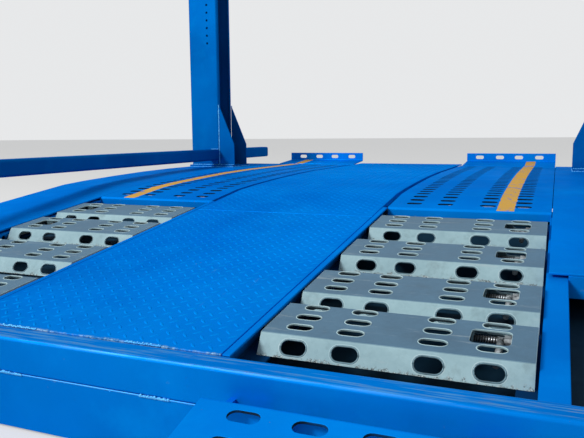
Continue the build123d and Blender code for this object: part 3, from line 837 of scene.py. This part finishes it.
def wheelStop():
    s, sheet = stop, deck["sheet"]
    start, end = s["start"], s["end"]
    low = deckHeight(deck["front"])
    fold = low + s["rise"]
    top = fold + s["height"]
    outline = [
        (start, low, 0), (end, fold, 1 - sheet / s["bend"]), (end, top, 0), (end + sheet, top, 0),
        (end + sheet, fold - sheet, 1), (start, low - sheet, 0),
    ]
    plate = prism(bentOutline(outline, s["bend"]), track["inner"], track["outer"])
    places = [(x, end, (fold + top) / 2) for x in s["columns"]]
    plate = perforated(plate, s["hole"], trackPaint, places, alongY)
    arms = armsAt(s["arms"], [(end, fold - sheet), (start, low - sheet)])
    return painted([softEdges(plate, s["rim"])] + arms, trackPaint)


def rearFlap():
    f, sheet = flap, deck["sheet"]
    tilt = math.radians(f["slope"])
    away, fall = math.cos(tilt), math.sin(tilt)
    back, low = -f["length"] * away, -f["length"] * fall
    rise = math.tan(tilt) * sheet
    thin = 1 - sheet / f["bend"]
    outline = [
        (0, 0, 1), (back, low, 1), (back, low - f["rearLip"], 0), (back + sheet, low - f["rearLip"], 0),
        (back + sheet, low + rise - sheet, thin), (-sheet, -rise - sheet, thin), (-sheet, -f["frontLip"], 0),
        (0, -f["frontLip"], 0),
    ]
    outline = [(y + f["edge"], z - f["drop"], part) for y, z, part in outline]
    plate = prism(bentOutline(outline, f["bend"]), track["inner"], track["outer"])
    along = [f["first"] + row * f["pitch"] for row in range(f["rows"])]
    places = [(x, f["edge"] - a * away, -f["drop"] - a * fall) for a in along for x in f["columns"]]
    plate = perforated(plate, f["slot"], deckPaint, places, (tilt, 0, 0))
    plate = softEdges(grimyHoles(plate, deckPaint, (0, -fall, away), f["slot"][0] * sheet), f["rim"])
    y, z = f["pivot"]
    radius, length = f["knuckle"]
    outer, bore = ring(radius, f["sides"], y, z), ring(f["bore"], f["sides"], y, z)
    parts = []
    for x in f["knuckles"]:
        x0, x1 = x - length / 2, x + length / 2
        parts.append(prism(outer, x0, x1, inner=bore))
        parts.append(slab(x0, x1, f["edge"] - sheet / 2, y - f["tabGap"], z - sheet / 2, z + sheet / 2))
    return joined([plate, painted(parts, deckPaint)], [deckPaint, holePaint])


def makeTracks():
    addPair("trackPlate", trackPlate(), "track_plate_{}")
    addPair("wheelStop", wheelStop(), "wheel_stop_{}")
    addPair("rearFlap", rearFlap(), "rear_flap_{}", "rear_flap_{}")
    print("tracks, stops and flaps made")


# Posts, side rails and rear beam

post = {
    "inner": 1.074, "outer": 1.275, "rear": 2.471, "front": 2.646, "wall": 0.008, "lip": 0.020, "bend": 0.013,
    "top": 1.900, "cap": 0.010, "base": (0.030, 0.012), "baseBend": 0.004, "reach": 0.971, "rim": 0.001,
    "gusset": (0.576, 0.331), "pegs": (1.145, 0.955, 0.046, 19), "peg": (0.014, 0.014),
    "capHoles": (0.140, 0.115), "capHole": (0.014, 0.014),
}
rail = {
    "x": (1.074, 1.144), "z": (0.233, 0.302), "wall": 0.004, "bend": 0.011, "stub": 3.206,
    "stanchionBend": 0.006, "stanchionInset": 0.005, "overlap": 0.001,
}
beam = {
    "rear": -0.167, "front": deck["rear"], "depth": 0.075, "bend": 0.009, "lowBend": 0.6, "half": 1.275,
    "rim": 0.0015, "vents": (0.4, 1.0), "vent": (0.024, 0.024), "ventDepth": 0.012,
    "apron": (0.932, 0.008, 0.118), "apronRim": 0.0012, "ears": (0.378, 0.849), "ear": (0.012, 0.012),
    "earSteps": 12, "earHole": (0.016, 0.016), "seam": 0.0016, "seamSides": 8,
}


def postBody():
    p = post
    x0, x1, y0, y1 = p["inner"], p["outer"], p["rear"], p["front"]
    wall, lip, top = p["wall"], p["lip"], p["top"]
    foot = deckHeight(y0) + p["base"][1]
    thin = 1 - wall / p["bend"]
    section = [
        (x0, y0, 1), (x1, y0, 1), (x1, y1, 1), (x0, y1, 1), (x0, y1 - lip, 0), (x0 + wall, y1 - lip, 0),
        (x0 + wall, y1 - wall, thin), (x1 - wall, y1 - wall, thin), (x1 - wall, y0 + wall, thin),
        (x0 + wall, y0 + wall, thin), (x0 + wall, y0 + lip, 0), (x0, y0 + lip, 0),
    ]
    column = prism(bentOutline(section, p["bend"], segments=4), foot, top - p["cap"], "z")
    x, first, pitch, count = p["pegs"]
    places = [(x, y0, first + step * pitch) for step in range(count)]
    column = perforated(column, p["peg"], framePaint, places, alongY)
    cap = prism(roundedBox(x0, x1, y0, y1, p["bend"]), top - p["cap"], top, "z")
    across, along = p["capHoles"]
    places = [((x0 + x1 + a * across) / 2, (y0 + y1 + b * along) / 2, top) for a in (-1, 1) for b in (-1, 1)]
    cap = perforated(cap, p["capHole"], framePaint, places)
    margin, thick = p["base"]
    around = roundedBox(p["reach"], x1, y0 - margin, y1 + margin, p["baseBend"], segments=2)
    base = prism(around, foot - thick, foot, "z")
    high, low = p["gusset"]
    outline = [(x0, high), (p["reach"], low), (p["reach"], foot), (x0, foot)]
    gussets = [prism(outline, y, y + wall, "y") for y in (y0, y1 - wall)]
    return painted([softEdges(part, p["rim"]) for part in [column, cap, base] + gussets], framePaint)


def sideRail():
    r = rail
    wall, inset, overlap = r["wall"], r["stanchionInset"], r["overlap"]
    spans = (beam["rear"], post["rear"]), (post["front"], r["stub"])
    parts = [tube(r["x"] + r["z"], r["bend"], wall, y0, y1, "y") for y0, y1 in spans]
    y0, y1 = beam["rear"] + inset, beam["front"] - inset
    foot, head = deckHeight(y0) - overlap, r["z"][0] + overlap
    parts.append(tube((*r["x"], y0, y1), r["stanchionBend"], wall, foot, head, "z"))
    return painted(parts, framePaint)


def rearBeam():
    b = beam
    y0, y1 = b["rear"], b["front"]
    low, lesser = deckHeight(y0) - b["depth"], b["lowBend"]
    outline = [(y0, deckHeight(y0), 1), (y1, deckHeight(y1), 1), (y1, low, lesser), (y0, low, lesser)]
    bar = prism(bentOutline(outline, b["bend"], segments=5), -b["half"], b["half"])
    places = [(way * x, y1, (deckHeight(y1) + low) / 2) for x in b["vents"] for way in (-1, 1)]
    bar = softEdges(perforated(bar, b["vent"], beamPaint, places, alongY, b["ventDepth"]), b["rim"])
    reach, thick, deep = b["apron"]
    apron = softEdges(slab(-reach, reach, y0, y0 + thick, low - deep, low), b["apronRim"])
    seam = smoothed(prism(ring(b["seam"], b["seamSides"], y0, low), -reach, reach))
    y, z = flap["pivot"]
    radius, wide = b["ear"]
    turns = [math.radians(90 + 180 * k / b["earSteps"]) for k in range(b["earSteps"] + 1)]
    half = [(y + radius * math.cos(turn), z + radius * math.sin(turn)) for turn in turns]
    outline = [(y0, z + radius)] + half + [(y0, z - radius)]
    ears = [prism(outline, at, at + wide) for x in b["ears"] for at in (x, -x - wide)]
    places = [(way * (x + wide / 2), y, z) for way in (1, -1) for x in b["ears"]]
    ears = perforated(joined(ears, []), b["earHole"], beamPaint, places, alongX)
    parts = [bar, apron, seam, ears]
    for part in parts:
        hasMaterial(part, beamPaint)
    usesPlace(seam, 1)
    return joined(parts, [beamPaint, seamPaint])


def makeFrame():
    addPair("post", postBody(), "post_{}")
    addPair("sideRail", sideRail(), "side_rail_{}")
    addPiece("rearBeam", rearBeam(), ["rear_beam"])
    print("posts, rails and beam made")


# Centre panels of checker plate

checker = {
    "half": 0.335, "gap": 0.0025, "edge": 0.0014, "margin": 0.014, "pitch": (0.0393, 0.036),
    "first": (0.0245, -0.0225), "lozenge": (0.024, 0.0070, 0.0013), "sides": 8, "topSize": 0.55,
    "arms": (-0.265, 0.255), "reach": 3.115,
    "panels": {"Rear": (deck["rear"], 0.936), "Middle": (0.938, 2.299), "Front": (2.301, 3.115)},
}


def checkerPlaces(y0, y1):
    # two crossed patterns of lozenges, each in the middle of the other's squares, lying on the deck's slope
    c = checker
    across, along = c["pitch"]
    reach = c["half"] - c["margin"]
    rows = int((y1 - y0) / along * 2) + 2
    columns = int(reach / across) + 2
    firstX, firstY = c["first"]
    firstY += math.ceil((y0 - firstY) / along) * along
    places, turns = [], []
    for row in range(-2, rows):
        y = firstY + row * along / 2
        lie = Matrix.Rotation(math.radians(45 if row % 2 else -45), 3, "Z")
        lie = Matrix.Rotation(deckAngle(y), 3, "X") @ lie
        for column in range(-columns, columns):
            x = firstX + (row % 2) * across / 2 + column * across
            if abs(x) <= reach and y0 + c["margin"] < y < y1 - c["margin"]:
                places.append((x, y, deckHeight(y)))
                turns.append(tuple(lie.to_euler("XYZ")))
    return pointMesh(places, turns)


def centrePanel(label, y0, y1):
    c = checker
    half = c["half"] - c["gap"]
    parts = [softEdges(prism(deckSheet(y0, y1), -half, half), c["edge"])]
    if label == "Front":
        parts += armsAt(c["arms"], [(c["reach"], deckHeight(deck["front"]) - deck["sheet"])])
    return painted(parts, platePaint)


def lozenge(tree, given):
    cone = addNode(tree, "GeometryNodeMeshCone", {"Vertices": checker["sides"], "Depth": 1.0,
                                                  "Radius Top": checker["topSize"], "Radius Bottom": 1.0})
    halves = [times(tree, given[key], 0.5) for key in ("Length", "Width")]
    scale = addNode(tree, "ShaderNodeCombineXYZ", {0: halves[0], 1: halves[1], 2: given["Height"]})
    return onPlaces(tree, given, addNode(tree, "GeometryNodeTransform", {"Geometry": cone, "Scale": scale}))


def makeChecker():
    length, width, height = checker["lozenge"]
    sizes = {"Length": length, "Width": width, "Height": height, "Finish": lozengePaint}
    for label, (y0, y1) in checker["panels"].items():
        addPiece("centrePanel" + label, centrePanel(label, y0, y1), ["centre_panel_" + label.lower()])
        pattern = grown("lozenges", sizes, lozenge, places=checkerPlaces(y0, y1))
        addPiece("checkerLozenges" + label, pattern)
    print("centre panels made")


# Channels along the wells, side panels, sills and front beam

well = {
    "ends": (deck["rear"] / math.cos(math.radians(deck["slope"])), 1.082), "base": 0.0383, "soft": 0.0018,
    "innerFoot": 0.330, "innerWeb": 0.336, "innerLedge": 0.392, "stripTop": (0.335, 0.352),
    "outerLedge": 0.847, "outerWeb": 0.883, "outerFar": 0.932, "drop": 0.014, "outerAngle": 50,
    "rack": (0.140, 0.058, 16), "rackHole": (0.015, 0.015), "rackDepth": 0.012,
}
flank = {
    "inner": 0.889, "half": 1.275, "rear": 0.487, "lip": 0.060, "lipEnds": (0.932, 1.205), "fold": 0.018,
    "soft": 0.0014, "sill": (0.070, 0.080), "sillSoft": 0.005, "sillAngle": 40, "frontBeam": (0.080, 0.100),
    "frontBeamBend": 0.010, "wall": 0.005,
}


def onSlope(mesh):
    mesh.transform(slopeMatrix())
    return mesh


def innerChannel():
    w, sheet = well, deck["sheet"]
    foot, web, ledge, base = w["innerFoot"], w["innerWeb"], w["innerLedge"], -w["base"]
    top0, top1 = w["stripTop"]
    outline = [
        (foot, -sheet), (top0, -sheet), (top0, 0), (top1, 0), (top1, -sheet), (web, -sheet),
        (web, base), (ledge, base), (ledge, base - sheet), (foot, base - sheet),
    ]
    return onSlope(softEdges(prism(outline, *w["ends"], "y"), w["soft"]))


def outerChannel():
    w, sheet = well, deck["sheet"]
    ledge, web, far, base, drop = w["outerLedge"], w["outerWeb"], w["outerFar"], -w["base"], -w["drop"]
    outline = [
        (ledge, base), (web, base), (web, drop), (far, drop), (far, base - sheet),
        (far - sheet, base - sheet), (far - sheet, drop - sheet), (web + sheet, drop - sheet),
        (web + sheet, base - sheet), (ledge, base - sheet),
    ]
    channel = prism(outline, *w["ends"], "y")
    first, pitch, count = w["rack"]
    places = [(web + sheet / 2, first + step * pitch, -latch["level"]) for step in range(count)]
    channel = perforated(channel, w["rackHole"], channelPaint, places, alongX, w["rackDepth"])
    return onSlope(softEdges(channel, w["soft"], angle=w["outerAngle"]))


def sidePanel():
    f, sheet = flank, deck["sheet"]
    inner, y0, front = f["inner"], f["rear"], deck["front"] - f["frontBeam"][0]
    top, low = deckHeight(y0) - sheet, deckHeight(y0) - f["lip"]
    lip = [(y0, top), (y0 + sheet, top), (y0 + sheet, low), (y0, low)]
    parts = [
        prism(deckSheet(y0, deck["front"]), inner, f["half"]),
        prism(deckSheet(track["start"], front, sheet, f["fold"]), inner, inner + sheet),
        prism(lip, *f["lipEnds"]),
    ]
    return painted([softEdges(part, f["soft"]) for part in parts], deckPaint)


def outerSills():
    f, sheet = flank, deck["sheet"]
    wide, deep = f["sill"]
    outline = deckSheet(beam["front"], deck["front"] - f["frontBeam"][0], sheet, sheet + deep)
    sill = softEdges(prism(outline, f["half"] - wide, f["half"]), f["sillSoft"], 3, f["sillAngle"])
    return painted([sill, movedMesh(sill, "sill", Matrix.Identity(4), True)], deckPaint)


def frontBeam():
    f = flank
    wide, deep = f["frontBeam"]
    y1, top = deck["front"], deckHeight(deck["front"]) - deck["sheet"]
    box = y1 - wide, y1, top - deep, top
    return hasMaterial(tube(box, f["frontBeamBend"], f["wall"], -f["half"], f["half"]), deckPaint)


def makeEdges():
    addPair("innerChannel", hasMaterial(innerChannel(), channelPaint), "inner_channel_{}")
    addPair("outerChannel", hasMaterial(outerChannel(), channelPaint), "outer_channel_{}")
    addPair("sidePanel", sidePanel(), "side_panel_{}")
    addPiece("outerSills", outerSills(), ["outer_sills"])
    addPiece("frontBeam", frontBeam(), ["front_beam"])
    print("channels, side panels, sills and front beam made")


# Welds: straight runs of beads, in datum places

weld = {
    "bead": 0.0032, "pitch": 0.0030, "shake": 0.0007, "seed": 4, "segments": 6, "rings": 4,
    "least": (0.7, 0.5, 0.5), "most": (1.3, 1.2, 1.2), "out": 0.001,
    "footInset": 0.004, "cornerInset": 0.014, "plateInset": 0.008, "railInset": 0.010,
    "stanchion": (0.006, 0.004, 0.010), "tabs": ((0.515, 0.577), (0.850, 0.912), (0.187, 0.249)),
    "middleTab": (-0.163, -0.103), "seams": ((-0.200, -0.110), (0.120, 0.200)),
    "arm": (0.0005, 0.010, 0.060),
}


def run(x, y, z):
    # the two ends of a run: each of x, y and z is one number, or a pair when it changes along the run
    return tuple(zip(*(value if isinstance(value, tuple) else (value, value) for value in (x, y, z))))


def weldRuns():
    # the runs of the right-hand side, their mirror images, and those in the middle
    w, out = weld, weld["out"]
    y0, y1 = post["rear"], post["front"]
    back, ahead = y0 - out, y1 + out
    margin, thick = post["base"]
    foot = deckHeight(y0) + thick
    plate = foot - thick
    x0, reach, high = post["inner"], post["reach"], post["gusset"][0]
    base, corner = reach + w["footInset"], post["outer"] - w["cornerInset"]
    plateEnd = post["outer"] - w["plateInset"]
    (r0, r1), (z0, z1) = rail["x"], rail["z"]
    inset = w["railInset"]
    railWidth, railHeight = (r0 + inset, r1 - inset), (z0 + inset, z1 - inset)
    rear, front = beam["rear"], beam["front"]
    rearTop, top = deckHeight(rear), deckHeight(front)
    beamLow = rearTop - beam["depth"]
    side, nearEnd, farEnd = w["stanchion"]
    beside = (rear + farEnd, front - farEnd), (rearTop, top)
    right = [
        run(x0, back, (foot, high)), run((base, x0), back, foot), run((x0, corner), back, foot),
        run(x0, ahead, (foot, high)), run((base, corner), ahead, foot),
        run(reach - out, (y0 - margin, y1 + margin), plate),
        run((reach, plateEnd), y0 - margin - out, plate), run((reach, plateEnd), y1 + margin + out, plate),
        run(railWidth, back, z1), run(r1, back, railHeight), run(railWidth, back, z0),
        run(railWidth, ahead, z1), run(r1, ahead, railHeight),
        run((r0 + side, r1 - side), rear + nearEnd, rearTop),
        run(r0 - out, *beside), run(r1 + out, *beside),
    ]
    right += [run(tab, rear - out, beamLow) for tab in w["tabs"]]
    off, armTop, armLow = w["arm"]
    under = deckHeight(deck["front"])
    for x in stop["arms"]:
        for face in (x - off, x + stop["arm"][0] + off):
            right.append(run(face, deck["front"] + out, (under - armTop, under - armLow)))
    left = [tuple((-x, y, z) for x, y, z in ends) for ends in right]
    middle = [run(w["middleTab"], rear - out, beamLow)]
    middle += [run(seam, front + out, top - out) for seam in w["seams"]]
    return right + left + middle


def weldBeads(tree, given):
    def shaken(low, high):
        return addNode(tree, "FunctionNodeRandomValue", {0: low, 1: high, "Seed": given["Seed"]},
                       data_type="FLOAT_VECTOR")

    bead = addNode(tree, "GeometryNodeMeshUVSphere",
                   {"Segments": weld["segments"], "Rings": weld["rings"], "Radius": given["Bead"]})
    shake = weld["shake"]
    offset = shaken((-shake,) * 3, (shake,) * 3)
    return onPlaces(tree, given, bead, shaken(weld["least"], weld["most"]), offset)


def makeWelds():
    places = []
    for first, last in weldRuns():
        first, last = Vector(first), Vector(last)
        count = max(2, round((last - first).length / weld["pitch"]))
        places += [tuple(first.lerp(last, k / (count - 1))) for k in range(count)]
    sizes = {"Bead": weld["bead"], "Seed": weld["seed"], "Finish": weldPaint}
    addPiece("welds", smoothed(grown("weldBeads", sizes, weldBeads, places=pointMesh(places))))
    print("welds made,", len(places), "beads")


# Camera, floor and light

camera = {
    "place": (0.8951, -1.1312, 0.3889),
    "right": (0.92537, 0.37898, -0.00760),
    "up": (-0.04219, 0.12291, 0.99152),
    "forward": (-0.37670, 0.91720, -0.12973),
    "lens": 39.72,
    "sensor": 36,
    "near": 0.02,
}
studio = {
    "floor": (0.70, 0.70, 0.69, 1), "floorRough": 0.85, "floorHalf": 90, "floorGlow": 0.55,
    "backdrop": (0.80, 0.81, 0.82, 1), "world": 0.42,
    "key": {"place": (-6.6, -9.0, 8.0), "target": (0, 0, 0.3), "size": 3.6, "power": 1720.0},
    "fill": {"place": (4.0, -1.0, 4.0), "target": (0, 0, 0.4), "size": 4.0, "power": 30.0},
}


def makeCamera():
    data = bpy.data.cameras.new("photoCamera")
    data.lens = camera["lens"]
    data.sensor_width = camera["sensor"]
    data.clip_start = camera["near"]
    item = linkObject("photoCamera", data)
    axes = Vector(camera["right"]), Vector(camera["up"]), -Vector(camera["forward"])
    turn = Matrix(axes).transposed().to_4x4()
    item.matrix_world = datumMatrix() @ Matrix.Translation(camera["place"]) @ turn
    bpy.context.scene.camera = item


def areaLight(name, place, target, size, power):
    data = bpy.data.lights.new(name, "AREA")
    data.shape = "DISK"
    data.size = size
    data.energy = power
    item = linkObject(name, data)
    item.location = place
    item.rotation_euler = (Vector(target) - Vector(place)).to_track_quat("-Z", "Y").to_euler()


def seenRays(tree):
    rays = tree.nodes.new("ShaderNodeLightPath").outputs
    shown = rays["Is Camera Ray"]
    for kind in ("Is Glossy Ray", "Is Transmission Ray"):
        shown = maths(tree, "MAXIMUM", shown, rays[kind])
    return shown


def makeStudio():
    half = studio["floorHalf"]
    corners = [(-half, -half, 0), (half, -half, 0), (half, half, 0), (-half, half, 0)]
    floor = linkObject("studioFloor", meshFrom(corners, [(0, 1, 2, 3)]))
    material, tree, shader = newMaterial("floorFinish")
    wire(tree, shader, {"Base Color": studio["floor"], "Roughness": studio["floorRough"]})
    glow = addNode(tree, "ShaderNodeEmission", {"Color": studio["backdrop"], "Strength": 1.0})
    mix = addNode(tree, "ShaderNodeMixShader",
                  {0: times(tree, seenRays(tree), studio["floorGlow"]), 1: shader.outputs[0], 2: glow})
    wire(tree, tree.nodes["Material Output"], {0: mix})
    floor.data.materials.append(material)
    areaLight("keyLight", **studio["key"])
    areaLight("fillLight", **studio["fill"])
    world = bpy.data.worlds.new("studioWorld")
    bpy.context.scene.world = world
    world.use_nodes = True
    tree = world.node_tree
    tree.nodes.clear()
    lit = addNode(tree, "ShaderNodeBackground", {"Color": (1, 1, 1, 1), "Strength": studio["world"]})
    seen = addNode(tree, "ShaderNodeBackground", {"Color": studio["backdrop"], "Strength": 1.0})
    mix = addNode(tree, "ShaderNodeMixShader", {0: seenRays(tree), 1: lit, 2: seen})
    wire(tree, tree.nodes.new("ShaderNodeOutputWorld"), {0: mix})
    print("camera, floor and light made")


def finishNodes():
    # the solids that no piece replaces
    # the splash guards, outriggers and cross members take the dark finish of painted shade
    finishes = {"flap_pins": steelFinish, "splash_guards": sealFinish, "outriggers": sealFinish,
                "cross_members": sealFinish}
    for name, item in nodes.items():
        chosen = next((made for start, made in finishes.items() if name.startswith(start)), deckPaint)
        for slot in item.material_slots:
            slot.material = chosen


makeCamera()
makeStudio()
makePlanks()
makeTracks()
makeFrame()
makeChecker()
makeEdges()
makeWelds()
finishNodes()

bpy.context.scene.view_settings.view_transform = "Standard"
